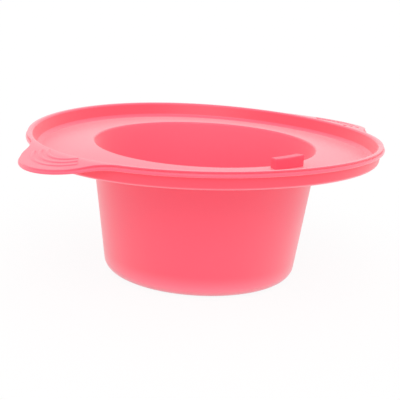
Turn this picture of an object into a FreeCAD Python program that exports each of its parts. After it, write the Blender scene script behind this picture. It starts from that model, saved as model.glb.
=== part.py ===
import FreeCAD, Part
import math
import os

# Silicone wax warmer pot: a tapered bowl with a drip tray round its mouth, a lip and two finger tabs.
# Millimetres and degrees. Z is up, the base stands on Z = 0, the tabs lie to either side along X and the
# spatula rest faces -Y.

# Driving sizes of the whole
LIP_R = 92.0
HEIGHT = 73.1

# Bowl
BASE_R = 49.7
BOWL_LEAN = 7.6
BOWL_WALL = 1.4
HEEL_ROUND = 6.0
MOUTH_ROUND = 1.0
NECK_ROUND = 3.0

# Drip tray
TRAY_DEPTH = 7.7
TRAY_FALL = 5.2
TRAY_FLOOR = 1.2
TRAY_WALL = 2.4
TRAY_INNER_LEAN = 22.5
TRAY_OUTER_LEAN = 6.5
TRAY_ROUND = 2.8
FOOT_ROUND = 2.1

# Lip and the step that runs round the lip and the tabs
LIP_WIDTH = 3.1
LIP_THICK = 2.8
LIP_ROUND = 1.6
STEP_IN = 0.8
STEP_HIGH = 1.2

# Finger tabs, which hang a little below the lip and are turned a little towards the spatula rest
TAB_TURN = 2.5
TAB_REACH = 16.9
TAB_ROUND = 27.3
TAB_BLEND = 25.8
TAB_FALL = 9.3
TAB_ROOT = 2.0

# Grip ribs on the tabs
RIB_COUNT = 3
RIB_PITCH = 3.4
RIB_WIDTH = 1.9
RIB_HIGH = 0.35
RIB_MARGIN = 4.5
RIB_INWARD = 1.0
RIB_TURN = 3.1
RIB_HALF_SPAN = 49.5

# Spatula rest on the tray floor beside the mouth
REST_TURN = -91.9
REST_WIDTH = 17.6
REST_THICK = 4.6
REST_OFF_MOUTH = 2.7
REST_HIGH = 7.6
REST_ROUND = 0.5

# Working allowance for cutting tools, well clear of every face
SPARE = 5.0

ORIGIN = FreeCAD.Vector(0, 0, 0)
UP = FreeCAD.Vector(0, 0, 1)


def tan(angle):
    return math.tan(math.radians(angle))


def polar(length, angle):
    return (length * math.cos(math.radians(angle)), length * math.sin(math.radians(angle)))


def shifted(point, step):
    return (point[0] + step[0], point[1] + step[1])


def crossing(point, angle, other, other_angle):
    """Point where two lines of the section meet, each given by a point and a direction."""
    dx, dz = polar(1.0, angle)
    ex, ez = polar(1.0, other_angle)
    across = dx * ez - dz * ex
    along = ((other[0] - point[0]) * ez - (other[1] - point[1]) * ex) / across
    return (point[0] + dx * along, point[1] + dz * along)


def rounding(corner, angle, other_angle, radius):
    """Start, middle and end of an arc that rounds a corner; both angles point away from the corner."""
    half = math.radians((other_angle - angle) % 360.0) / 2.0
    if half > math.pi / 2.0:
        half = math.pi - half
    reach = radius / math.tan(half)
    first = shifted(corner, polar(reach, angle))
    last = shifted(corner, polar(reach, other_angle))
    chord = ((first[0] + last[0]) / 2.0 - corner[0], (first[1] + last[1]) / 2.0 - corner[1])
    length = math.hypot(chord[0], chord[1])
    depth = radius / math.sin(half) - radius
    middle = (corner[0] + chord[0] * depth / length, corner[1] + chord[1] * depth / length)
    return first, middle, last


def section(point):
    return FreeCAD.Vector(point[0], 0, point[1])


def flat(point):
    return FreeCAD.Vector(point[0], point[1], 0)


def outline(path, place):
    """Closed wire from a list of corners, in which a pair of points stands for an arc's middle and end."""
    edges = []
    here = path[0]
    for step in path[1:] + path[:1]:
        if isinstance(step, list):
            edges.append(Part.Arc(place(here), place(step[0]), place(step[1])).toShape())
            here = step[1]
        else:
            edges.append(Part.makeLine(place(here), place(step)))
            here = step
    return Part.Wire(edges)


def turned(path, angle=360.0):
    return Part.Face(outline(path, section)).revolve(ORIGIN, UP, angle)


def save(shape, node):
    shape.exportStep("parts/" + node + ".step")


# Directions in the section, measured from the outward horizontal
UP_BOWL = 90.0 - BOWL_LEAN
DOWN_BOWL = UP_BOWL - 180.0
OUT_TRAY = -TRAY_FALL
IN_TRAY = 180.0 - TRAY_FALL
UP_INNER = 90.0 - TRAY_INNER_LEAN
DOWN_INNER = UP_INNER - 180.0
UP_OUTER = 90.0 - TRAY_OUTER_LEAN
DOWN_OUTER = UP_OUTER - 180.0

# Lines of the section
lip_inner = (LIP_R - LIP_WIDTH, HEIGHT)
lip_under = HEIGHT - LIP_THICK
tray_corner = shifted(lip_inner, (-TRAY_DEPTH * tan(TRAY_INNER_LEAN), -TRAY_DEPTH))
tray_under = shifted(tray_corner, polar(TRAY_FLOOR, OUT_TRAY - 90.0))
wall_inner = shifted(lip_inner, (-LIP_THICK * tan(TRAY_INNER_LEAN), -LIP_THICK))
wall_outer = shifted(wall_inner, (TRAY_WALL, 0.0))
bowl_outer = (BASE_R, 0.0)
bowl_inner = shifted(bowl_outer, polar(BOWL_WALL, UP_BOWL + 90.0))
mouth_corner = crossing(bowl_inner, UP_BOWL, tray_corner, IN_TRAY)
neck_corner = crossing(bowl_outer, UP_BOWL, tray_under, IN_TRAY)
foot_corner = crossing(wall_outer, DOWN_OUTER, tray_under, OUT_TRAY)

# Rounded corners of the section
heel = rounding(bowl_outer, 180.0, UP_BOWL, HEEL_ROUND)
heel_centre = (heel[0][0], HEEL_ROUND)
heel_inside = [shifted(heel_centre, polar(HEEL_ROUND - BOWL_WALL, turn)) for turn in
               (-90.0, (UP_BOWL - 180.0) / 2.0, UP_BOWL - 90.0)]
neck = rounding(neck_corner, DOWN_BOWL, OUT_TRAY, NECK_ROUND)
mouth = rounding(mouth_corner, DOWN_BOWL, OUT_TRAY, MOUTH_ROUND)
corner = rounding(tray_corner, IN_TRAY, UP_INNER, TRAY_ROUND)
foot = rounding(foot_corner, IN_TRAY, UP_OUTER, FOOT_ROUND)
edge = rounding(lip_inner, DOWN_INNER, 0.0, LIP_ROUND)

# Where one region of the moulding ends and the next begins, square across the wall
neck_inside = shifted(neck[0], polar(BOWL_WALL, UP_BOWL + 90.0))
neck_above = shifted(neck[2], polar(TRAY_FLOOR, OUT_TRAY + 90.0))
corner_below = shifted(corner[0], polar(TRAY_FLOOR, OUT_TRAY - 90.0))

bowl_floor = Part.makeCylinder(heel_centre[0], BOWL_WALL)
bowl_heel = turned([heel[0], [heel[1], heel[2]], heel_inside[2], [heel_inside[1], heel_inside[0]]])
bowl_wall = turned([heel[2], neck[0], neck_inside, heel_inside[2]])
mouth_ring = turned([neck[0], [neck[1], neck[2]], neck_above, mouth[2], [mouth[1], mouth[0]], neck_inside])
tray_floor = turned([neck[2], corner_below, corner[0], neck_above])
tray_wall = turned([corner_below, foot[0], [foot[1], foot[2]], wall_outer, wall_inner, corner[2],
                    [corner[1], corner[0]]])

# Plan of the lip with its two tabs
tab_tip = LIP_R + TAB_REACH
tab_centre = tab_tip - TAB_ROUND
near = LIP_R + TAB_BLEND
far = TAB_ROUND + TAB_BLEND
blend_x = (near * near - far * far + tab_centre * tab_centre) / (2.0 * tab_centre)
blend_y = math.sqrt(near * near - blend_x * blend_x)
root_turn = math.degrees(math.atan2(blend_y, blend_x))
tip_turn = math.degrees(math.atan2(blend_y, blend_x - tab_centre))


def swung(point):
    """Point of the right tab, drawn along X, at the tab's own direction."""
    return polar(math.hypot(point[0], point[1]), math.degrees(math.atan2(point[1], point[0])) - TAB_TURN)


def brim_plan(inset):
    """Lip circle with both tabs blended on, drawn the given distance inside the outer edge."""
    lip = LIP_R - inset
    tip = TAB_ROUND - inset
    blend = TAB_BLEND + inset
    root = polar(lip, root_turn)
    start = shifted((tab_centre, 0.0), polar(tip, tip_turn))
    between = shifted((blend_x, blend_y), polar(blend, (root_turn + tip_turn) / 2.0 + 180.0))
    side = [root, between, start]
    tab = [(x, -y) for x, y in side] + [(tab_centre + tip, 0.0)] + side[::-1]
    right = [swung(point) for point in tab]
    left = [(-x, y) for x, y in right[::-1]]
    return [
        right[0], [right[1], right[2]], [right[3], right[4]], [right[5], right[6]], [(0.0, lip), left[0]],
        [left[1], left[2]], [left[3], left[4]], [left[5], left[6]], [(0.0, -lip), right[0]],
    ]


def closed_plan(path):
    """Closed wire of arcs only."""
    edges = []
    here = path[0]
    for middle, end in path[1:]:
        edges.append(Part.Arc(flat(here), flat(middle), flat(end)).toShape())
        here = end
    return Part.Wire(edges)


def plan_prism(inset):
    face = Part.Face(closed_plan(brim_plan(inset)))
    face.translate(FreeCAD.Vector(0, 0, lip_under - 2.0 * SPARE))
    return face.extrude(FreeCAD.Vector(0, 0, 4.0 * SPARE))


def hung(rise, reach):
    """Point on the tab surface, raised by the given height, at the given distance outside the lip."""
    return (LIP_R + reach, HEIGHT + rise - reach * tan(TAB_FALL))


past_tip = TAB_REACH + SPARE
brim = turned([wall_inner, (LIP_R, lip_under), hung(-LIP_THICK, past_tip), hung(0.0, past_tip),
               (LIP_R, HEIGHT), edge[2], [edge[1], edge[0]]])
brim = brim.common(plan_prism(0.0))
step_inner = LIP_R - LIP_WIDTH / 2.0
rebate = turned([(step_inner, HEIGHT - STEP_HIGH), (LIP_R, HEIGHT - STEP_HIGH), hung(-STEP_HIGH, past_tip),
                 hung(SPARE, past_tip), (LIP_R, HEIGHT + SPARE), (step_inner, HEIGHT + SPARE)])
brim = brim.cut(rebate.cut(plan_prism(STEP_IN)))

# The tabs begin at a straight root just inside the lip's edge
root_x = LIP_R - TAB_ROOT
half_y = LIP_R + SPARE
slab_corner = FreeCAD.Vector(-root_x, -half_y, lip_under - 2.0 * SPARE)
slab = Part.makeBox(2.0 * root_x, 2.0 * half_y, 4.0 * SPARE, slab_corner)
rim_lip = brim.common(slab).Solids[0]
left_tab, right_tab = sorted(brim.cut(slab).Solids, key=lambda solid: solid.CenterOfMass.x)

# Grip ribs, round a point just inside the middle of the tab's tip and standing on its top
rib_layer = turned([hung(0.0, 0.0), hung(0.0, past_tip), hung(RIB_HIGH, past_tip), hung(RIB_HIGH, 0.0)])


def ribs_on(turn):
    """Ribs laid on a tab in the given direction."""
    ribs = []
    for number in range(RIB_COUNT):
        outer = TAB_ROUND - RIB_MARGIN - number * RIB_PITCH
        hoop = Part.makeCylinder(outer, 4.0 * SPARE, ORIGIN, UP, 2.0 * RIB_HALF_SPAN)
        hoop = hoop.cut(Part.makeCylinder(outer - RIB_WIDTH, 4.0 * SPARE))
        hoop.rotate(ORIGIN, UP, -RIB_HALF_SPAN)
        hoop.translate(FreeCAD.Vector(tab_centre - RIB_INWARD, 0, lip_under - 2.0 * SPARE))
        hoop.rotate(ORIGIN, UP, turn)
        ribs.extend(rib_layer.common(hoop).Solids)
    return Part.makeCompound(ribs)


right_ribs = ribs_on(-RIB_TURN)
left_ribs = ribs_on(180.0 + RIB_TURN)

# Spatula rest, curved with the mouth and standing on the tray floor
rest_in = mouth_corner[0] + REST_OFF_MOUTH
rest_out = rest_in + REST_THICK
rest_top = tray_corner[1] + REST_HIGH


def tray_top(radius):
    return tray_corner[1] + (tray_corner[0] - radius) * tan(TRAY_FALL)


rest_angle = math.degrees(2.0 * REST_WIDTH / (rest_in + rest_out))
rest_section = [(rest_in, tray_top(rest_in)), (rest_out, tray_top(rest_out)),
                (rest_out, rest_top), (rest_in, rest_top)]
rest = turned(rest_section, rest_angle)
free_edges = [edge for edge in rest.Edges if edge.BoundBox.ZMax > rest_top - REST_ROUND]
rest = rest.makeFillet(REST_ROUND, free_edges)
rest.rotate(ORIGIN, UP, REST_TURN - rest_angle / 2.0)

os.makedirs("parts", exist_ok=True)
save(bowl_floor, "bowl_floor")
save(bowl_heel, "bowl_heel")
save(bowl_wall, "bowl_wall")
save(mouth_ring, "mouth_ring")
save(tray_floor, "tray_floor")
save(tray_wall, "tray_wall")
save(rim_lip, "rim_lip")
save(left_tab, "left_tab")
save(right_tab, "right_tab")
save(left_ribs, "left_ribs")
save(right_ribs, "right_ribs")
save(rest, "spatula_rest")
print("OK")
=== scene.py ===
"""Dressed scene of a soft silicone wax warmer pot: bowl, drip tray, lip, finger tabs and spatula rest."""
import logging
import math
from dataclasses import dataclass, field
from enum import Enum

import bmesh
import bpy
from mathutils import Matrix, Vector


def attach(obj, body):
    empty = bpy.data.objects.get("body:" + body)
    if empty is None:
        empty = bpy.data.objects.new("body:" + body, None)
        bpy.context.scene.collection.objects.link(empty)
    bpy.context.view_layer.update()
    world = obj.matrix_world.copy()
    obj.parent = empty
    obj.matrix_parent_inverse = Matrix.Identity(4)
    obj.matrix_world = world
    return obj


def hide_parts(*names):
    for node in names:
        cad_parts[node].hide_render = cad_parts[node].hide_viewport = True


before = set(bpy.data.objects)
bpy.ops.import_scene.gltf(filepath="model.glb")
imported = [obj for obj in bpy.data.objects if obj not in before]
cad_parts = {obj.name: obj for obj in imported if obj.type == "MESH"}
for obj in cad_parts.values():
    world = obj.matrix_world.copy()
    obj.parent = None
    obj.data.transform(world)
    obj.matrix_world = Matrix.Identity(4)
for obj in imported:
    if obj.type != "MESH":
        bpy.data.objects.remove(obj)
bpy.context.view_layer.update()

LOG = logging.getLogger("wax_pot")
Point = tuple[float, float]
MM = 0.001
SAME_PLACE = 1e-4
BODY = "root"

# Colour sockets of a Mix node, by number because its inputs share their names
MIX_A = 6
MIX_B = 7
MIX_RESULT = 2


class Region(Enum):
    """Regions of the moulding that stand as pieces of their own, named as their solids are."""

    FLOOR = "bowl_floor"
    HEEL = "bowl_heel"
    WALL = "bowl_wall"
    MOUTH = "mouth_ring"
    TRAY = "tray_floor"
    TRAY_WALL = "tray_wall"
    LIP = "rim_lip"
    LEFT_TAB = "left_tab"
    RIGHT_TAB = "right_tab"
    LEFT_RIBS = "left_ribs"
    RIGHT_RIBS = "right_ribs"
    REST = "spatula_rest"


class Side(Enum):
    """The two tabs, by the way they point along X."""

    LEFT = -1
    RIGHT = 1


def polar(length: float, angle: float) -> Point:
    """Point at a length and an angle in degrees."""
    return length * math.cos(math.radians(angle)), length * math.sin(math.radians(angle))


def shifted(point: Point, step: Point) -> Point:
    """Point moved by a step."""
    return point[0] + step[0], point[1] + step[1]


def crossing(point: Point, angle: float, other: Point, other_angle: float) -> Point:
    """Finds where two lines of the section meet.

    Args:
        point: A point on the first line.
        angle: Direction of the first line, in degrees.
        other: A point on the second line.
        other_angle: Direction of the second line, in degrees.

    Returns:
        The meeting point.
    """
    dx, dz = polar(1.0, angle)
    ex, ez = polar(1.0, other_angle)
    along = ((other[0] - point[0]) * ez - (other[1] - point[1]) * ex) / (dx * ez - dz * ex)
    return point[0] + dx * along, point[1] + dz * along


def swing(centre: Point, radius: float, start: float, end: float, steps: int) -> list[Point]:
    """Samples an arc.

    Args:
        centre: Centre of the arc.
        radius: Radius of the arc.
        start: First angle, in degrees.
        end: Last angle, in degrees.
        steps: Number of segments.

    Returns:
        The points, ends included.
    """
    return [shifted(centre, polar(radius, start + (end - start) * i / steps)) for i in range(steps + 1)]


def rounding(corner: Point, angle: float, other_angle: float, radius: float, steps: int) -> list[Point]:
    """Rounds a corner of the section.

    Args:
        corner: The sharp corner.
        angle: Direction of the side on which the arc starts, away from the corner, in degrees.
        other_angle: Direction of the side on which it ends, away from the corner, in degrees.
        radius: Radius of the arc.
        steps: Number of segments.

    Returns:
        Points along the arc, from the first side to the second.
    """
    open_angle = (other_angle - angle + 180.0) % 360.0 - 180.0
    half = abs(open_angle) / 2.0
    centre = shifted(corner, polar(radius / math.sin(math.radians(half)), angle + open_angle / 2.0))
    turn = math.copysign(180.0 - abs(open_angle), open_angle)
    start = angle - math.copysign(90.0, open_angle)
    return swing(centre, radius, start, start - turn, steps)


def spread(start: Point, end: Point, steps: int) -> list[Point]:
    """Points along a straight line, ends included."""
    return [(start[0] + (end[0] - start[0]) * i / steps, start[1] + (end[1] - start[1]) * i / steps)
            for i in range(steps + 1)]


def chained(*runs: list[Point]) -> list[Point]:
    """Joins runs of points into one loop and drops points that repeat.

    Args:
        runs: Runs of points, in order round the loop.

    Returns:
        The loop, which doesn't come back to its first point.
    """
    loop: list[Point] = []
    for run in runs:
        for point in run:
            if not loop or math.dist(loop[-1], point) > SAME_PLACE:
                loop.append(point)
    if math.dist(loop[0], loop[-1]) < SAME_PLACE:
        loop.pop()
    return loop


@dataclass(frozen=True)
class PotSizes:
    """Driving sizes of the moulding, in millimetres and degrees."""

    lip_radius: float = 92.0
    height: float = 73.1
    base_radius: float = 49.7
    bowl_lean: float = 7.6
    bowl_wall: float = 1.4
    heel_round: float = 6.0
    mouth_round: float = 1.0
    neck_round: float = 3.0
    tray_depth: float = 7.7
    tray_fall: float = 5.2
    tray_floor: float = 1.2
    tray_wall: float = 2.4
    tray_inner_lean: float = 22.5
    tray_outer_lean: float = 6.5
    tray_round: float = 2.8
    foot_round: float = 2.1
    lip_width: float = 3.1
    lip_thick: float = 2.8
    lip_round: float = 1.6
    step_in: float = 0.8
    step_high: float = 1.2
    tab_turn: float = 2.5
    tab_reach: float = 16.9
    tab_round: float = 27.3
    tab_blend: float = 25.8
    tab_fall: float = 9.3
    rib_count: int = 3
    rib_pitch: float = 3.4
    rib_width: float = 1.9
    rib_high: float = 0.35
    rib_margin: float = 4.5
    rib_inward: float = 1.0
    rib_turn: float = 3.1
    rib_half_span: float = 49.5
    rest_turn: float = -91.9
    rest_width: float = 17.6
    rest_thick: float = 4.6
    rest_off_mouth: float = 2.7
    rest_high: float = 7.6
    rest_round: float = 0.5

    @staticmethod
    def swung(point: Point, turn: float) -> Point:
        """Point of the right tab, drawn along X, when the tab is turned towards the front by some degrees."""
        return polar(math.hypot(*point), math.degrees(math.atan2(point[1], point[0])) - turn)


@dataclass(frozen=True)
class SoftRim:
    """How the soft rim hangs: a slight tilt and twist of the tray, and the drop of the tabs.

    The tilt and the twist are given at the lip and fade to nothing at the mouth. Their angles are measured
    from the viewer's right. The sags are degrees by which each tab hangs more than the moulded fall. The left
    tab is thinned from above, in full from some distance outside the lip.
    """

    sizes: PotSizes
    viewer_turn: float = 41.12
    tilt_right: float = 0.75
    tilt_back: float = -0.04
    twist_cos: float = -0.33
    twist_sin: float = -1.01
    sag_left: float = 0.4
    sag_right: float = -2.2
    still_radius: float = 55.6
    bend: float = 3.0
    left_thinning: float = 0.7
    thinned_within: float = 10.0

    def lift(self, x: float, y: float) -> float:
        """Tells how far the rim is raised at a place in plan.

        Args:
            x: Place along X, in millimetres.
            y: Place along Y, in millimetres.

        Returns:
            The height, in millimetres.
        """
        radius = math.hypot(x, y)
        share = max(0.0, radius - self.still_radius) / (self.sizes.lip_radius - self.still_radius)
        turn = math.atan2(y, x) + math.radians(self.viewer_turn)
        wave = (self.tilt_right * math.cos(turn) + self.tilt_back * math.sin(turn)
                + self.twist_cos * math.cos(2.0 * turn) + self.twist_sin * math.sin(2.0 * turn))
        return share * wave

    def top(self, x: float, y: float) -> float:
        """Tells how high the lip's or a tab's moulded top is at a place in plan.

        Args:
            x: Place along X, in millimetres.
            y: Place along Y, in millimetres.

        Returns:
            The height, in millimetres.
        """
        radius = math.hypot(x, y)
        past = radius - self.sizes.lip_radius
        sag = (self.sag_right if x > 0.0 else self.sag_left) * abs(x) / radius
        slope = math.tan(math.radians(self.sizes.tab_fall + sag))
        if past > self.bend:
            drop = past * slope
        elif past > -self.bend:
            drop = slope * (past + self.bend) ** 2 / (4.0 * self.bend)
        else:
            drop = 0.0
        return self.sizes.height - drop + self.lift(x, y)

    def thin(self, x: float, y: float) -> float:
        """Tells how much the left tab is thinned from above at a place in plan.

        Args:
            x: Place along X, in millimetres.
            y: Place along Y, in millimetres.

        Returns:
            The thickness that is lost, in millimetres.
        """
        past = math.hypot(x, y) - self.sizes.lip_radius
        if x > 0.0 or past < 0.0:
            return 0.0
        return self.left_thinning * min(1.0, past / self.thinned_within)


@dataclass(frozen=True)
class SectionSteps:
    """Numbers of segments along the lines and arcs of the section."""

    heel: int = 30
    heel_inside: int = 24
    neck: int = 14
    mouth: int = 18
    corner: int = 16
    foot: int = 16
    edge: int = 12
    floor: int = 12
    bowl_side: int = 24
    tray: int = 12
    tray_side: int = 5
    lip_top: int = 3
    lip_side: int = 3
    lip_under: int = 4


class Section:
    """Half section of the pot, worked out from its driving sizes, as distance from the axis and height.

    Neighbouring regions meet a short way past the arc between them, by the length of the join.
    """

    join: float = 0.4
    steps: SectionSteps = SectionSteps()

    def __init__(self, sizes: PotSizes) -> None:
        """Works out the lines and rounded corners.

        Args:
            sizes: Driving sizes of the moulding.
        """
        s = sizes
        n = self.steps
        self.sizes = s
        self.up_bowl = 90.0 - s.bowl_lean
        self.out_tray = -s.tray_fall
        self.in_tray = 180.0 - s.tray_fall
        self.up_inner = 90.0 - s.tray_inner_lean
        self.up_outer = 90.0 - s.tray_outer_lean
        down_bowl = self.up_bowl - 180.0
        lean = math.tan(math.radians(s.tray_inner_lean))
        self.lip_inner = (s.lip_radius - s.lip_width, s.height)
        self.lip_under = s.height - s.lip_thick
        self.tray_corner = shifted(self.lip_inner, (-s.tray_depth * lean, -s.tray_depth))
        tray_under = shifted(self.tray_corner, polar(s.tray_floor, self.out_tray - 90.0))
        self.wall_inner = shifted(self.lip_inner, (-s.lip_thick * lean, -s.lip_thick))
        self.wall_outer = shifted(self.wall_inner, (s.tray_wall, 0.0))
        bowl_outer = (s.base_radius, 0.0)
        bowl_inner = shifted(bowl_outer, polar(s.bowl_wall, self.up_bowl + 90.0))
        self.mouth_corner = crossing(bowl_inner, self.up_bowl, self.tray_corner, self.in_tray)
        neck_corner = crossing(bowl_outer, self.up_bowl, tray_under, self.in_tray)
        foot_corner = crossing(self.wall_outer, self.up_outer, tray_under, self.out_tray)
        self.heel = rounding(bowl_outer, 180.0, self.up_bowl, s.heel_round, n.heel)
        centre = (self.heel[0][0], s.heel_round)
        self.heel_inside = swing(centre, s.heel_round - s.bowl_wall, self.up_bowl - 90.0, -90.0,
                                 n.heel_inside)
        self.neck = rounding(neck_corner, down_bowl, self.out_tray, s.neck_round, n.neck)
        self.mouth = rounding(self.mouth_corner, self.out_tray, down_bowl, s.mouth_round, n.mouth)
        self.corner = rounding(self.tray_corner, self.up_inner, self.in_tray, s.tray_round, n.corner)
        self.foot = rounding(foot_corner, self.in_tray, self.up_outer, s.foot_round, n.foot)
        self.edge = rounding(self.lip_inner, self.up_inner - 180.0, 0.0, s.lip_round, n.edge)
        across_bowl = polar(s.bowl_wall, self.up_bowl + 90.0)
        across_tray = polar(s.tray_floor, self.out_tray + 90.0)
        self.floor_edge = self.heel[0][0] - self.join
        self.low_outer = shifted(self.heel[-1], polar(self.join, self.up_bowl))
        self.low_inner = shifted(self.low_outer, across_bowl)
        self.high_outer = shifted(self.neck[0], polar(-self.join, self.up_bowl))
        self.high_inner = shifted(self.high_outer, across_bowl)
        self.near_under = shifted(self.neck[-1], polar(self.join, self.out_tray))
        self.near_over = shifted(self.near_under, across_tray)
        self.far_over = shifted(self.corner[-1], polar(self.join, self.in_tray))
        self.far_under = shifted(self.far_over, (-across_tray[0], -across_tray[1]))

    def tray_top(self, radius: float) -> float:
        """Height of the tray floor's top at a distance from the axis."""
        fall = math.tan(math.radians(self.sizes.tray_fall))
        return self.tray_corner[1] + (self.tray_corner[0] - radius) * fall

    def floor(self) -> list[Point]:
        """Loop of the bowl's floor, from the axis out along its underside."""
        wall = self.sizes.bowl_wall
        return chained(spread((0.0, 0.0), (self.floor_edge, 0.0), self.steps.floor),
                       spread((self.floor_edge, wall), (0.0, wall), self.steps.floor))

    def bowl_heel(self) -> list[Point]:
        """Loop of the rounded heel."""
        wall = self.sizes.bowl_wall
        return chained([(self.floor_edge, 0.0)], self.heel, [self.low_outer, self.low_inner],
                       self.heel_inside, [(self.floor_edge, wall)])

    def bowl_side(self) -> list[Point]:
        """Loop of the tapered wall."""
        return chained(spread(self.low_outer, self.high_outer, self.steps.bowl_side),
                       spread(self.high_inner, self.low_inner, self.steps.bowl_side))

    def mouth_ring(self) -> list[Point]:
        """Loop of the rounded mouth and the turn under it."""
        return chained([self.high_outer], self.neck, [self.near_under, self.near_over], self.mouth,
                       [self.high_inner])

    def tray(self) -> list[Point]:
        """Loop of the tray floor."""
        return chained(spread(self.near_under, self.far_under, self.steps.tray),
                       spread(self.far_over, self.near_over, self.steps.tray))

    def tray_side(self) -> list[Point]:
        """Loop of the tray wall with its rounded foot and inner corner."""
        return chained([self.far_under], self.foot,
                       spread(self.foot[-1], self.wall_outer, self.steps.tray_side),
                       spread(self.wall_inner, self.corner[0], self.steps.tray_side),
                       self.corner, [self.far_over])

    def lip_core(self, reach: float) -> list[Point]:
        """Loop of the lip's inner part.

        Args:
            reach: Distance from the axis at which the part ends.

        Returns:
            The loop, from the top of its outer end inwards and round to the underside of that end.
        """
        n = self.steps
        return chained(spread((reach, self.sizes.height), self.edge[-1], n.lip_top), self.edge[::-1],
                       spread(self.edge[0], self.wall_inner, n.lip_side),
                       spread(self.wall_inner, (reach, self.lip_under), n.lip_under))


class Shell:
    """Closed mesh put together from loops, in millimetres, and turned into a Blender piece in metres.

    A face is upright where the level part of its normal, along the radius, is at least a given share. Edges
    over the crease's angle, in degrees, are shown sharp.
    """

    # Upright faces can take their own finish, a deeper or paler copy of the silicone that paints shade or
    # light.
    upright: float = 0.88
    crease: float = 32.0

    def __init__(self, region: Region) -> None:
        """Starts an empty shell.

        Args:
            region: Region of the moulding that the shell stands for.
        """
        self.region = region
        self.bm = bmesh.new()

    def point(self, x: float, y: float, z: float) -> bmesh.types.BMVert:
        """Adds a point given in millimetres."""
        return self.bm.verts.new((x * MM, y * MM, z * MM))

    def strip(self, first: list[bmesh.types.BMVert], second: list[bmesh.types.BMVert], closed: bool) -> None:
        """Joins two rows of points by faces.

        Args:
            first: One row.
            second: The row beside it, of the same length.
            closed: Whether the last points are joined to the first ones.
        """
        count = len(first)
        for i in range(count if closed else count - 1):
            j = (i + 1) % count
            corners = [first[i], first[j], second[j], second[i]]
            corners = [v for k, v in enumerate(corners) if v not in corners[:k]]
            if len(corners) > 2:
                self.bm.faces.new(corners)

    def loft(self, rows: list[list[bmesh.types.BMVert]]) -> None:
        """Joins closed rows of points into a body and caps its ends.

        Args:
            rows: The rows, from one end of the body to the other.
        """
        for first, second in zip(rows, rows[1:]):
            self.strip(first, second, closed=True)
        self.bm.faces.new(rows[0])
        self.bm.faces.new(rows[-1])

    def piece(self, finish: bpy.types.Material, inner: bpy.types.Material | None = None,
              outer: bpy.types.Material | None = None) -> bpy.types.Object:
        """Finishes the mesh and makes the piece that stands for its region.

        Args:
            finish: Finish of the piece.
            inner: Finish of its upright faces towards the axis, if they have their own.
            outer: Finish of its upright faces away from the axis, if they have their own.

        Returns:
            The new object, which rides on the pot.
        """
        bmesh.ops.recalc_face_normals(self.bm, faces=self.bm.faces)
        mesh = bpy.data.meshes.new("soft_" + self.region.value)
        finishes = list(dict.fromkeys(f for f in (finish, inner, outer) if f))
        for used in finishes:
            mesh.materials.append(used)
        for face in self.bm.faces:
            facing = face.normal.to_2d().dot(face.calc_center_median().to_2d().normalized())
            wanted = inner if facing < -self.upright else outer if facing > self.upright else None
            face.material_index = finishes.index(wanted or finish)
        self.bm.to_mesh(mesh)
        self.bm.free()
        return dressed(mesh, self.region, self.crease)


def dressed(mesh: bpy.types.Mesh, region: Region, crease: float) -> bpy.types.Object:
    """Makes an object from a finished mesh and ties it to the pot.

    Args:
        mesh: Closed mesh, in place and with its finish.
        region: Region of the moulding that it stands for.
        crease: Angle in degrees above which an edge is shown sharp.

    Returns:
        The new object.
    """
    mesh.shade_smooth()
    mesh.set_sharp_from_angle(angle=math.radians(crease))
    piece = bpy.data.objects.new("soft_" + region.value, mesh)
    bpy.context.scene.collection.objects.link(piece)
    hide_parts(region.value)
    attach(piece, BODY)
    LOG.info("%s: %d faces", piece.name, len(mesh.polygons))
    return piece


@dataclass
class TurnedRegions:
    """The regions turned about the pot's axis: bowl, mouth and tray."""

    section: Section
    rim: SoftRim
    around: int = 256

    def ring(self, region: Region, loop: list[Point], finish: bpy.types.Material,
             **faces: bpy.types.Material) -> bpy.types.Object:
        """Turns a loop of the section into a closed ring.

        Args:
            region: Region that the ring stands for.
            loop: Loop of the section.
            finish: Finish of the ring.
            faces: Finishes of its upright faces, inner or outer, that have their own.

        Returns:
            The ring.
        """
        shell = Shell(region)
        poles = {i: shell.point(0.0, 0.0, z) for i, (r, z) in enumerate(loop) if r < SAME_PLACE}
        rows = []
        for k in range(self.around):
            cos, sin = polar(1.0, 360.0 * k / self.around)
            row = []
            for i, (r, z) in enumerate(loop):
                x, y = r * cos, r * sin
                row.append(poles[i] if i in poles else shell.point(x, y, z + self.rim.lift(x, y)))
            rows.append(row)
        for k, row in enumerate(rows):
            shell.strip(row, rows[(k + 1) % self.around], closed=not poles)
        return shell.piece(finish, **faces)

    def build(self, bowl: bpy.types.Material, inside: bpy.types.Material, tray: bpy.types.Material,
              side: bpy.types.Material) -> list[bpy.types.Object]:
        """Builds every turned region.

        Args:
            bowl: Finish of the bowl, a copy of the silicone deeper than the tray's that paints shade.
            inside: Finish of the inside of the bowl wall and the mouth, a paler copy that paints light.
            tray: Finish of the mouth and the tray.
            side: Finish of the tray wall's upright faces, a deeper copy of the silicone that paints shade.

        Returns:
            The pieces.
        """
        s = self.section
        return [
            self.ring(Region.FLOOR, s.floor(), bowl),
            self.ring(Region.HEEL, s.bowl_heel(), bowl),
            self.ring(Region.WALL, s.bowl_side(), bowl, inner=inside),
            self.ring(Region.MOUTH, s.mouth_ring(), tray, inner=inside),
            self.ring(Region.TRAY, s.tray(), tray),
            self.ring(Region.TRAY_WALL, s.tray_side(), tray, inner=side, outer=side),
        ]


@dataclass(frozen=True)
class Station:
    """A place on the outer edge of the brim: plan point, outward direction and polar direction."""

    place: Point
    outward: Point
    ray: Point
    tab: Side | None


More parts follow.
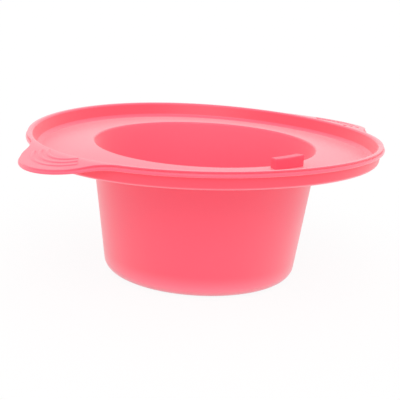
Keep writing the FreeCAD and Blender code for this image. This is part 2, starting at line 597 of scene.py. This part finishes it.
@dataclass
class Brim:
    """Lip and finger tabs, which share one stepped outer edge and meet at a split inside it."""

    section: Section
    rim: SoftRim
    split: float = 90.0
    top_round: float = 0.2
    ledge_round: float = 0.08
    undercut: float = 0.5
    bead_round: float = 0.8
    under_round: float = 0.75
    rows: int = 16
    blend_steps: int = 24
    tip_steps: int = 72
    arc_steps: int = 110
    top_steps: int = 5
    ledge_steps: int = 3
    bead_steps: int = 7
    under_steps: int = 6
    stations: list[Station] = field(default_factory=list)

    def plan(self) -> None:
        """Works out the stations round the outer edge, anticlockwise from the root of the right tab."""
        s = self.section.sizes
        centre = s.lip_radius + s.tab_reach - s.tab_round
        near, far = s.lip_radius + s.tab_blend, s.tab_round + s.tab_blend
        blend_x = (near * near - far * far + centre * centre) / (2.0 * centre)
        blend_y = math.sqrt(near * near - blend_x * blend_x)
        root = math.degrees(math.atan2(blend_y, blend_x))
        tip = math.degrees(math.atan2(blend_y, blend_x - centre))
        ear: list[tuple[Point, Point]] = []
        for angle in [root + (tip - root) * i / self.blend_steps for i in range(self.blend_steps + 1)]:
            ear.append((shifted((blend_x, blend_y), polar(-s.tab_blend, angle)), polar(1.0, angle)))
        half = [((x, -y), (a, -b)) for (x, y), (a, b) in ear]
        for angle in [-tip + 2.0 * tip * i / self.tip_steps for i in range(1, self.tip_steps)]:
            half.append((shifted((centre, 0.0), polar(s.tab_round, angle)), polar(1.0, angle)))
        half.extend(ear[::-1])
        right = [(s.swung(place, s.tab_turn), s.swung(out, s.tab_turn)) for place, out in half]
        left = [((-x, y), (-a, b)) for (x, y), (a, b) in right[::-1]]
        first, last = root - s.tab_turn, -root - s.tab_turn
        steps = range(1, self.arc_steps)
        back = [polar(1.0, first + (180.0 - 2.0 * first) * i / self.arc_steps) for i in steps]
        front = [polar(1.0, 180.0 - last + 2.0 * (last + 90.0) * i / self.arc_steps) for i in steps]
        self.stations = []
        for points, tab in ((right, Side.RIGHT), (back, None), (left, Side.LEFT), (front, None)):
            for point in points:
                place, out = point if tab else ((s.lip_radius * point[0], s.lip_radius * point[1]), point)
                length = math.hypot(*place)
                self.stations.append(Station(place, out, (place[0] / length, place[1] / length), tab))

    def edge_steps(self, station: Station) -> list[Point]:
        """Draws the stepped edge, whose undercut fades out towards the tip of a tab.

        Args:
            station: The place on the edge.

        Returns:
            Points as distance inside the outline and depth below the top.
        """
        s = self.section.sizes
        top = swing((s.step_in + self.top_round, self.top_round), self.top_round, -90.0, -180.0,
                    self.top_steps)
        reach = min(1.0, max(0.0, math.hypot(*station.place) - s.lip_radius) / s.tab_reach)
        foot = s.step_in + self.undercut * (1.0 - reach) - self.ledge_round
        ledge = swing((foot, s.step_high - self.ledge_round), self.ledge_round, 0.0, 90.0, self.ledge_steps)
        bead = swing((self.bead_round, s.step_high + self.bead_round), self.bead_round, -90.0, -180.0,
                     self.bead_steps)
        under = swing((self.under_round, s.lip_thick - self.under_round), self.under_round, 180.0, 90.0,
                      self.under_steps)
        return chained(top, ledge, bead, under)

    def outer_row(self, shell: Shell, station: Station,
                  root: tuple[bmesh.types.BMVert, bmesh.types.BMVert] | None) -> list[bmesh.types.BMVert]:
        """Adds the points of the brim's outer part at one station, from the split round the edge and back.

        Args:
            shell: Shell that gets the points.
            station: The place on the edge.
            root: Points of the split that exist already, upper and lower, if any.

        Returns:
            The points, those of the split first and last.
        """
        thick = self.section.sizes.lip_thick
        steps = self.edge_steps(station)
        start = (station.ray[0] * self.split, station.ray[1] * self.split)

        def inside(distance: float) -> Point:
            """Place in plan at a distance inside the outline."""
            return shifted(station.place, (-station.outward[0] * distance, -station.outward[1] * distance))

        over = spread(start, inside(steps[0][0]), self.rows)
        under = spread(inside(steps[-1][0]), start, self.rows)
        flat = [(x, y, 0.0) for x, y in over[:-1]]
        flat += [(*inside(d), h) for d, h in steps]
        flat += [(x, y, thick) for x, y in under[1:]]
        row = []
        for i, (x, y, depth) in enumerate(flat):
            if root and i in (0, len(flat) - 1):
                row.append(root[0] if i == 0 else root[1])
            else:
                lost = self.rim.thin(x, y)
                row.append(shell.point(x, y, self.rim.top(x, y) - lost - depth * (1.0 - lost / thick)))
        return row

    def build_lip(self, finish: bpy.types.Material, side: bpy.types.Material) -> bpy.types.Object:
        """Builds the lip, cut back to the split where a tab goes on.

        Args:
            finish: Finish of the lip.
            side: Finish of its side towards the axis, which carries on the tray wall; it paints shade.

        Returns:
            The lip.
        """
        shell = Shell(Region.LIP)
        height = self.section.sizes.height
        cores, edges = [], []
        for station in self.stations:
            core = []
            for r, z in self.section.lip_core(self.split):
                x, y = r * station.ray[0], r * station.ray[1]
                core.append(shell.point(x, y, self.rim.top(x, y) - height + z))
            cores.append(core)
        total = len(self.stations)
        bare = [station.tab is None for station in self.stations]
        wanted = [bare[k] or bare[k - 1] or bare[(k + 1) % total] for k in range(total)]
        for k, station in enumerate(self.stations):
            edges.append(self.outer_row(shell, station, (cores[k][0], cores[k][-1])) if wanted[k] else None)
        for k in range(total):
            j = (k + 1) % total
            shell.strip(cores[k], cores[j], closed=False)
            if edges[k] and edges[j] and (bare[k] or bare[j]):
                shell.strip(edges[k], edges[j], closed=False)
            else:
                shell.strip([cores[k][-1], cores[k][0]], [cores[j][-1], cores[j][0]], closed=False)
            if edges[k] and not bare[k]:
                shell.bm.faces.new(edges[k])
        return shell.piece(finish, inner=side)

    def build_tab(self, side: Side, region: Region, finish: bpy.types.Material) -> bpy.types.Object:
        """Builds one finger tab.

        Args:
            side: Which tab.
            region: Region that it stands for.
            finish: Finish of the tab.

        Returns:
            The tab.
        """
        shell = Shell(region)
        shell.loft([self.outer_row(shell, station, None) for station in self.stations if station.tab is side])
        return shell.piece(finish)


class TreeMaker:
    """Short hand for building a node tree."""

    def __init__(self, tree: bpy.types.NodeTree) -> None:
        """Keeps the tree.

        Args:
            tree: Tree that gets the nodes.
        """
        self.tree = tree

    def node(self, kind: str, feeds: dict[str | int, object] | None = None,
             **settings: object) -> bpy.types.Node:
        """Adds a node.

        Args:
            kind: Blender's name for the type of node.
            feeds: What its inputs get, each a socket to link or a value.
            settings: Properties of the node, set before its inputs.

        Returns:
            The node.
        """
        made = self.tree.nodes.new(kind)
        for name, value in settings.items():
            setattr(made, name, value)
        for name, value in (feeds or {}).items():
            if isinstance(value, bpy.types.NodeSocket):
                self.tree.links.new(value, made.inputs[name])
            else:
                made.inputs[name].default_value = value
        return made

    def math(self, operation: str, *values: bpy.types.NodeSocket | float) -> bpy.types.NodeSocket:
        """Adds a Math node with the given inputs and gives its result."""
        return self.node("ShaderNodeMath", dict(enumerate(values)), operation=operation).outputs[0]


@dataclass
class GripRibs:
    """Raised arched ribs on the finger tabs, made by one Geometry Nodes tree for both sides.

    A rib tapers from a share of its length, counted from its middle, to a share of its size at its ends.
    """

    section: Section
    rim: SoftRim
    arc_points: int = 160
    bead_points: int = 20
    taper_start: float = 0.42
    end_size: float = 0.05
    crease: float = 50.0
    tree: bpy.types.NodeTree | None = None
    inputs: dict[str, str] = field(default_factory=dict)

    def grow_tree(self) -> None:
        """Builds the tree: arcs round one centre, swept by a flat bead with thinned ends."""
        tree = bpy.data.node_groups.new("grip_ribs", "GeometryNodeTree")
        make = TreeMaker(tree)
        tree.interface.new_socket("Geometry", in_out="INPUT", socket_type="NodeSocketGeometry")
        kinds = {"Count": "Int", "Outer Radius": "Float", "Pitch": "Float", "Width": "Float",
                 "Height": "Float", "Start": "Float", "Sweep": "Float", "Material": "Material"}
        for name, kind in kinds.items():
            socket = tree.interface.new_socket(name, in_out="INPUT", socket_type="NodeSocket" + kind)
            self.inputs[name] = socket.identifier
        tree.interface.new_socket("Geometry", in_out="OUTPUT", socket_type="NodeSocketGeometry")
        given = make.node("NodeGroupInput").outputs
        arc = make.node("GeometryNodeCurveArc", {
            "Resolution": self.arc_points, "Radius": 1.0, "Start Angle": given["Start"],
            "Sweep Angle": given["Sweep"],
        }, mode="RADIUS")
        dots = make.node("GeometryNodePoints", {"Count": given["Count"]})
        number = make.node("GeometryNodeInputIndex").outputs[0]
        radius = make.math("SUBTRACT", given["Outer Radius"], make.math("MULTIPLY", number, given["Pitch"]))
        lay = make.node("GeometryNodeInstanceOnPoints", {
            "Points": dots.outputs[0], "Instance": arc.outputs["Curve"], "Scale": radius,
        })
        real = make.node("GeometryNodeRealizeInstances", {0: lay.outputs["Instances"]})
        upright = make.node("GeometryNodeSetCurveNormal", {"Curve": real.outputs[0]}, mode="Z_UP")
        along = make.node("GeometryNodeSplineParameter").outputs["Factor"]
        taper = make.node("ShaderNodeMapRange", {
            "Value": make.math("ABSOLUTE", make.math("SUBTRACT", 0.5, along)), "From Min": 0.5,
            "From Max": self.taper_start, "To Min": self.end_size, "To Max": 1.0,
        }, interpolation_type="SMOOTHSTEP")
        slim = make.node("GeometryNodeSetCurveRadius", {
            "Curve": upright.outputs[0], "Radius": taper.outputs["Result"],
        })
        bead = make.node("GeometryNodeCurvePrimitiveCircle", {
            "Resolution": self.bead_points, "Radius": 1.0,
        }, mode="RADIUS")
        scale = make.node("ShaderNodeCombineXYZ", {
            "X": make.math("MULTIPLY", given["Width"], 0.5), "Y": given["Height"],
        })
        shape = make.node("GeometryNodeTransform", {
            "Geometry": bead.outputs["Curve"], "Scale": scale.outputs[0],
        })
        sweep = make.node("GeometryNodeCurveToMesh", {
            "Curve": slim.outputs[0], "Profile Curve": shape.outputs[0], "Fill Caps": True,
        })
        solid = make.node("GeometryNodeRealizeInstances", {0: sweep.outputs[0]})
        paint = make.node("GeometryNodeSetMaterial", {
            "Geometry": solid.outputs[0], "Material": given["Material"],
        })
        make.node("NodeGroupOutput", {0: paint.outputs[0]})
        self.tree = tree

    def build(self, side: Side, region: Region, finish: bpy.types.Material) -> bpy.types.Object:
        """Grows the ribs of one tab and lays them on its top.

        Args:
            side: Which tab.
            region: Region that the ribs stand for.
            finish: Finish of the ribs.

        Returns:
            The ribs, as one piece.
        """
        if self.tree is None:
            self.grow_tree()
        s = self.section.sizes
        centre = s.lip_radius + s.tab_reach - s.tab_round - s.rib_inward
        values = {
            "Count": s.rib_count,
            "Outer Radius": (s.tab_round - s.rib_margin - s.rib_width / 2.0) * MM,
            "Pitch": s.rib_pitch * MM,
            "Width": s.rib_width * MM,
            "Height": s.rib_high * MM,
            "Start": math.radians(-s.rib_half_span),
            "Sweep": math.radians(2.0 * s.rib_half_span),
            "Material": finish,
        }
        host = bpy.data.objects.new("rib_host", bpy.data.meshes.new("rib_host"))
        bpy.context.scene.collection.objects.link(host)
        grown = host.modifiers.new("ribs", "NODES")
        grown.node_group = self.tree
        for name, value in values.items():
            grown[self.inputs[name]] = value
        graph = bpy.context.evaluated_depsgraph_get()
        mesh = bpy.data.meshes.new_from_object(host.evaluated_get(graph), depsgraph=graph)
        mesh.name = "soft_" + region.value
        bpy.data.objects.remove(host, do_unlink=True)
        for vert in mesh.vertices:
            x, y = s.swung((vert.co.x / MM + centre, vert.co.y / MM), s.rib_turn)
            x *= side.value
            vert.co = Vector((x, y, self.rim.top(x, y) - self.rim.thin(x, y) + vert.co.z / MM)) * MM
        bm = bmesh.new()
        bm.from_mesh(mesh)
        bmesh.ops.recalc_face_normals(bm, faces=bm.faces)
        bm.to_mesh(mesh)
        bm.free()
        return dressed(mesh, region, self.crease)


@dataclass
class SpatulaRest:
    """Upright block beside the mouth, curved with it. Its top falls by some degrees from its right end."""

    section: Section
    rim: SoftRim
    along: int = 24
    side_steps: int = 4
    corner_steps: int = 6
    end_steps: int = 5
    lean: float = 2.0

    def loop(self, inset: float) -> list[Point]:
        """Draws the rounded section of the block.

        Args:
            inset: Distance by which it is drawn smaller, towards the ends of the block.

        Returns:
            The loop, from the foot of the outer side over the top to the foot of the inner side.
        """
        s = self.section.sizes
        tray_top = self.section.tray_top
        inner = self.section.mouth_corner[0] + s.rest_off_mouth + inset
        outer = inner + s.rest_thick - 2.0 * inset
        top = self.section.tray_corner[1] + s.rest_high - inset
        r = s.rest_round
        return chained(
            spread((outer, tray_top(outer)), (outer, top - r), self.side_steps),
            swing((outer - r, top - r), r, 0.0, 90.0, self.corner_steps),
            swing((inner + r, top - r), r, 90.0, 180.0, self.corner_steps),
            spread((inner, top - r), (inner, tray_top(inner)), self.side_steps),
        )

    def build(self, finish: bpy.types.Material) -> bpy.types.Object:
        """Builds the block with rounded ends.

        Args:
            finish: Finish of the block.

        Returns:
            The block.
        """
        s = self.section.sizes
        shell = Shell(Region.REST)
        middle = self.section.mouth_corner[0] + s.rest_off_mouth + s.rest_thick / 2.0
        half = s.rest_width / 2.0
        flat = half - s.rest_round
        fall = math.tan(math.radians(self.lean)) / s.rest_high
        ends = []
        for k in range(self.end_steps + 1):
            rise, reach = polar(s.rest_round, 90.0 * (self.end_steps - k) / self.end_steps)
            ends.append((flat + reach, s.rest_round - rise))
        cuts = [(-distance, inset) for distance, inset in ends]
        cuts += [(-flat + 2.0 * flat * k / self.along, 0.0) for k in range(1, self.along)]
        cuts += ends[::-1]
        rows = []
        for distance, inset in cuts:
            cos, sin = polar(1.0, s.rest_turn + math.degrees(distance / middle))
            row = []
            for r, z in self.loop(inset):
                x, y = r * cos, r * sin
                lower = fall * (half - distance) * (z - self.section.tray_top(r))
                row.append(shell.point(x, y, z - lower + self.rim.lift(x, y)))
            rows.append(row)
        shell.loft(rows)
        return shell.piece(finish)


class SurfaceEffects:
    """Shader node groups that the silicone finishes share."""

    fine_detail: float = 3.0
    broad_scale: float = 45.0
    broad_detail: float = 4.0
    cloud_scale: float = 18.0
    cloud_detail: float = 5.0

    def __init__(self) -> None:
        """Builds the groups."""
        self.grain = self.make_grain()
        self.tint = self.make_tint()

    @staticmethod
    def begin(name: str, inputs: dict[str, str], outputs: dict[str, str]) -> TreeMaker:
        """Starts a group.

        Args:
            name: Name of the group.
            inputs: Names of its inputs, with their kinds.
            outputs: Names of its outputs, with their kinds.

        Returns:
            The builder of its tree.
        """
        tree = bpy.data.node_groups.new(name, "ShaderNodeTree")
        for way, sockets in (("INPUT", inputs), ("OUTPUT", outputs)):
            for label, kind in sockets.items():
                tree.interface.new_socket(label, in_out=way, socket_type="NodeSocket" + kind)
        return TreeMaker(tree)

    def make_grain(self) -> bpy.types.NodeTree:
        """Builds the fine satin grain of the mould.

        Returns:
            A group that puts out a height and a roughness.
        """
        make = self.begin("satin_grain", {"Scale": "Float", "Roughness": "Float", "Variation": "Float"},
                          {"Height": "Float", "Roughness": "Float"})
        given = make.node("NodeGroupInput").outputs
        where = make.node("ShaderNodeTexCoord").outputs["Object"]
        fine = make.node("ShaderNodeTexNoise", {
            "Vector": where, "Scale": given["Scale"], "Detail": self.fine_detail,
        })
        broad = make.node("ShaderNodeTexNoise", {
            "Vector": where, "Scale": self.broad_scale, "Detail": self.broad_detail,
        })
        centred = make.math("SUBTRACT", broad.outputs["Fac"], 0.5)
        rough = make.math("MULTIPLY_ADD", centred, given["Variation"], given["Roughness"])
        make.node("NodeGroupOutput", {"Height": fine.outputs["Fac"], "Roughness": rough})
        return make.tree

    def make_tint(self) -> bpy.types.NodeTree:
        """Builds the slight cloudiness of the pigment, with painted light from the table on the foot: paler
        towards the ground.

        Returns:
            A group that puts out a colour.
        """
        inputs = {"Deep": "Color", "Pale": "Color", "Foot": "Color", "Foot Height": "Float"}
        make = self.begin("pigment_cloud_and_painted_foot_light", inputs, {"Color": "Color"})
        given = make.node("NodeGroupInput").outputs
        where = make.node("ShaderNodeTexCoord").outputs["Object"]
        cloud = make.node("ShaderNodeTexNoise", {
            "Vector": where, "Scale": self.cloud_scale, "Detail": self.cloud_detail,
        })
        mix = make.node("ShaderNodeMix", {
            "Factor": cloud.outputs["Fac"], MIX_A: given["Deep"], MIX_B: given["Pale"],
        }, data_type="RGBA")
        # Painted light: the colour turns paler towards the ground, standing in for light from the table.
        height = make.node("ShaderNodeSeparateXYZ", {0: where}).outputs["Z"]
        fade = make.node("ShaderNodeMapRange", {
            "Value": height, "From Min": given["Foot Height"], "From Max": 0.0,
        }, interpolation_type="SMOOTHSTEP")
        foot = make.node("ShaderNodeMix", {
            "Factor": fade.outputs["Result"], MIX_A: mix.outputs[MIX_RESULT], MIX_B: given["Foot"],
        }, data_type="RGBA")
        make.node("NodeGroupOutput", {"Color": foot.outputs[MIX_RESULT]})
        return make.tree


@dataclass(frozen=True)
class SiliconeFinish:
    """Satin coral-pink silicone. Heights are in metres."""

    name: str
    deep: tuple[float, float, float] = (1.0, 0.102, 0.172)
    pale: tuple[float, float, float] = (1.0, 0.112, 0.188)
    # Foot colour and its height paint light from the table onto the lowest part of every piece.
    foot: tuple[float, float, float] = (1.0, 0.25, 0.33)
    painted_light_height: float = 0.012
    roughness: float = 0.32
    variation: float = 0.06
    sheen: float = 0.5
    sheen_roughness: float = 0.53
    grain_scale: float = 2200.0
    grain_depth: float = 0.06
    grain_height: float = 0.0002
    ior: float = 1.45

    def material(self, effects: SurfaceEffects) -> bpy.types.Material:
        """Builds the material.

        Args:
            effects: Shared node groups.

        Returns:
            The finished material.
        """
        material = bpy.data.materials.new(self.name)
        material.use_nodes = True
        material.node_tree.nodes.clear()
        make = TreeMaker(material.node_tree)
        # Foot is a paler colour that paints the table's light near the ground.
        tint = make.node("ShaderNodeGroup", {
            "Deep": (*self.deep, 1.0), "Pale": (*self.pale, 1.0), "Foot": (*self.foot, 1.0),
            "Foot Height": self.painted_light_height,
        }, node_tree=effects.tint)
        grain = make.node("ShaderNodeGroup", {
            "Scale": self.grain_scale, "Roughness": self.roughness, "Variation": self.variation,
        }, node_tree=effects.grain)
        bump = make.node("ShaderNodeBump", {
            "Strength": self.grain_depth, "Distance": self.grain_height, "Height": grain.outputs["Height"],
        })
        shader = make.node("ShaderNodeBsdfPrincipled", {
            "Base Color": tint.outputs["Color"], "Roughness": grain.outputs["Roughness"], "IOR": self.ior,
            "Sheen Weight": self.sheen, "Sheen Roughness": self.sheen_roughness,
            "Normal": bump.outputs["Normal"],
        })
        make.node("ShaderNodeOutputMaterial", {"Surface": shader.outputs[0]})
        return material


@dataclass
class Studio:
    """White surroundings, floor, soft light and the camera at the photograph's place.

    The camera's distance, aim and sensor are in millimetres, the floor and the clipping in metres.
    """

    rim: SoftRim
    focal_pixels: float = 998.7
    frame_pixels: float = 400.0
    sensor: float = 36.0
    clip: tuple[float, float] = (0.01, 50.0)
    distance: float = 527.13
    elevation: float = 14.64
    roll: float = 3.101
    aim: Point = (-1.07, 36.86)
    sky: float = 0.93
    sun: float = 0.93
    sun_spread: float = 50.0
    sun_lean: float = 41.0
    floor_span: float = 6.0
    floor_drop: float = 0.0004
    floor_grey: float = 0.9
    floor_white: float = 0.92

    @staticmethod
    def seen_rays(make: TreeMaker) -> bpy.types.NodeSocket:
        """Adds nodes that tell the rays by which the surroundings are seen from those that light the pot.

        Args:
            make: Builder of the tree that gets the nodes.

        Returns:
            A value of 1 for camera, glossy and transmission rays, and 0 for others.
        """
        path = make.node("ShaderNodeLightPath").outputs
        direct = make.math("MAXIMUM", path["Is Camera Ray"], path["Is Glossy Ray"])
        return make.math("MAXIMUM", direct, path["Is Transmission Ray"])

    def facing_viewer(self, pose: Matrix) -> Matrix:
        """Pose drawn with the viewer in front, turned to where the viewer stands."""
        return Matrix.Rotation(math.radians(-self.rim.viewer_turn), 4, "Z") @ pose

    def world(self) -> None:
        """White surroundings, a little dimmer as a light than to the eye."""
        world = bpy.data.worlds.new("white_tent")
        world.use_nodes = True
        bpy.context.scene.world = world
        make = TreeMaker(world.node_tree)
        level = make.math("MULTIPLY_ADD", self.seen_rays(make), 1.0 - self.sky, self.sky)
        back = world.node_tree.nodes["Background"]
        back.inputs["Color"].default_value = (1.0, 1.0, 1.0, 1.0)
        make.tree.links.new(level, back.inputs["Strength"])

    def lamp(self) -> None:
        """Broad soft light from above the viewer."""
        data = bpy.data.lights.new("softbox", "SUN")
        data.energy = self.sun
        data.angle = math.radians(self.sun_spread)
        lamp = bpy.data.objects.new("softbox", data)
        bpy.context.scene.collection.objects.link(lamp)
        lamp.matrix_world = self.facing_viewer(Matrix.Rotation(math.radians(self.sun_lean), 4, "X"))

    def floor(self) -> None:
        """Pale floor that shows white to the camera and still takes the pot's soft shadow."""
        mesh = bpy.data.meshes.new("floor")
        span = self.floor_span
        plan = ((-span, -span), (span, -span), (span, span), (-span, span))
        mesh.from_pydata([(x, y, -self.floor_drop) for x, y in plan], [], [(0, 1, 2, 3)])
        floor = bpy.data.objects.new("floor", mesh)
        bpy.context.scene.collection.objects.link(floor)
        material = bpy.data.materials.new("white_floor")
        material.use_nodes = True
        material.node_tree.nodes.clear()
        make = TreeMaker(material.node_tree)
        matt = make.node("ShaderNodeBsdfDiffuse", {"Color": (*[self.floor_grey] * 3, 1.0)})
        glow = make.node("ShaderNodeEmission", {"Strength": 1.0})
        mix = make.node("ShaderNodeMixShader", {
            0: make.math("MULTIPLY", self.seen_rays(make), self.floor_white), 1: matt.outputs[0],
            2: glow.outputs[0],
        })
        make.node("ShaderNodeOutputMaterial", {"Surface": mix.outputs[0]})
        mesh.materials.append(material)

    def camera(self) -> None:
        """Camera fitted to the photograph."""
        data = bpy.data.cameras.new("camera")
        data.sensor_width = self.sensor
        data.lens = self.focal_pixels / self.frame_pixels * self.sensor
        data.clip_start, data.clip_end = self.clip
        e, r = math.radians(self.elevation), math.radians(self.roll)
        back = Vector((0.0, -math.cos(e), math.sin(e)))
        side = Vector((1.0, 0.0, 0.0))
        over = back.cross(side)
        right = side * math.cos(r) + over * math.sin(r)
        up = over * math.cos(r) - side * math.sin(r)
        pose = Matrix((right, up, back)).transposed().to_4x4()
        pose.translation = (Vector((self.aim[0], 0.0, self.aim[1])) + back * self.distance) * MM
        camera = bpy.data.objects.new("camera", data)
        bpy.context.scene.collection.objects.link(camera)
        camera.matrix_world = self.facing_viewer(pose)
        bpy.context.scene.camera = camera

    def build(self) -> None:
        """Sets up the whole studio."""
        self.world()
        self.floor()
        self.lamp()
        self.camera()
        bpy.context.scene.view_settings.view_transform = "Standard"


def main() -> None:
    """Builds the pot and its studio, and logs the number of pieces."""
    logging.basicConfig(level=logging.INFO, format="%(name)s: %(message)s")
    section = Section(PotSizes())
    rim = SoftRim(section.sizes)
    effects = SurfaceEffects()
    # Painted shade: the bowl's copy of the silicone is deeper than the tray's.
    bowl = SiliconeFinish("silicone_bowl_painted_shade", deep=(1.0, 0.077, 0.138), pale=(1.0, 0.085, 0.151), sheen=0.47,
                          sheen_roughness=0.63).material(effects)
    tray = SiliconeFinish("silicone_tray", roughness=0.3).material(effects)
    # Painted shade: a deeper copy of the silicone for the tray wall's upright sides and the lip's inner side.
    side = SiliconeFinish("silicone_side_painted_shade", deep=(1.0, 0.067, 0.114), pale=(1.0, 0.074, 0.126), roughness=0.36,
                          sheen=0.32).material(effects)
    # Painted light: a paler copy of the silicone for the inside of the bowl.
    inside = SiliconeFinish("silicone_inside_painted_light", deep=(1.0, 0.15, 0.226), pale=(1.0, 0.164, 0.247),
                            sheen=0.35).material(effects)
    block = SiliconeFinish("silicone_block", roughness=0.5, sheen=0.15).material(effects)
    grip = SiliconeFinish("silicone_grip", roughness=0.38, grain_scale=2800.0,
                          grain_depth=0.09).material(effects)
    made = TurnedRegions(section, rim).build(bowl, inside, tray, side)
    brim = Brim(section, rim)
    brim.plan()
    made.append(brim.build_lip(tray, side))
    made.append(brim.build_tab(Side.LEFT, Region.LEFT_TAB, grip))
    made.append(brim.build_tab(Side.RIGHT, Region.RIGHT_TAB, grip))
    ribs = GripRibs(section, rim)
    made.append(ribs.build(Side.LEFT, Region.LEFT_RIBS, grip))
    made.append(ribs.build(Side.RIGHT, Region.RIGHT_RIBS, grip))
    made.append(SpatulaRest(section, rim).build(block))
    Studio(rim).build()
    LOG.info("%d pieces", len(made))


if __name__ == "__main__":
    main()
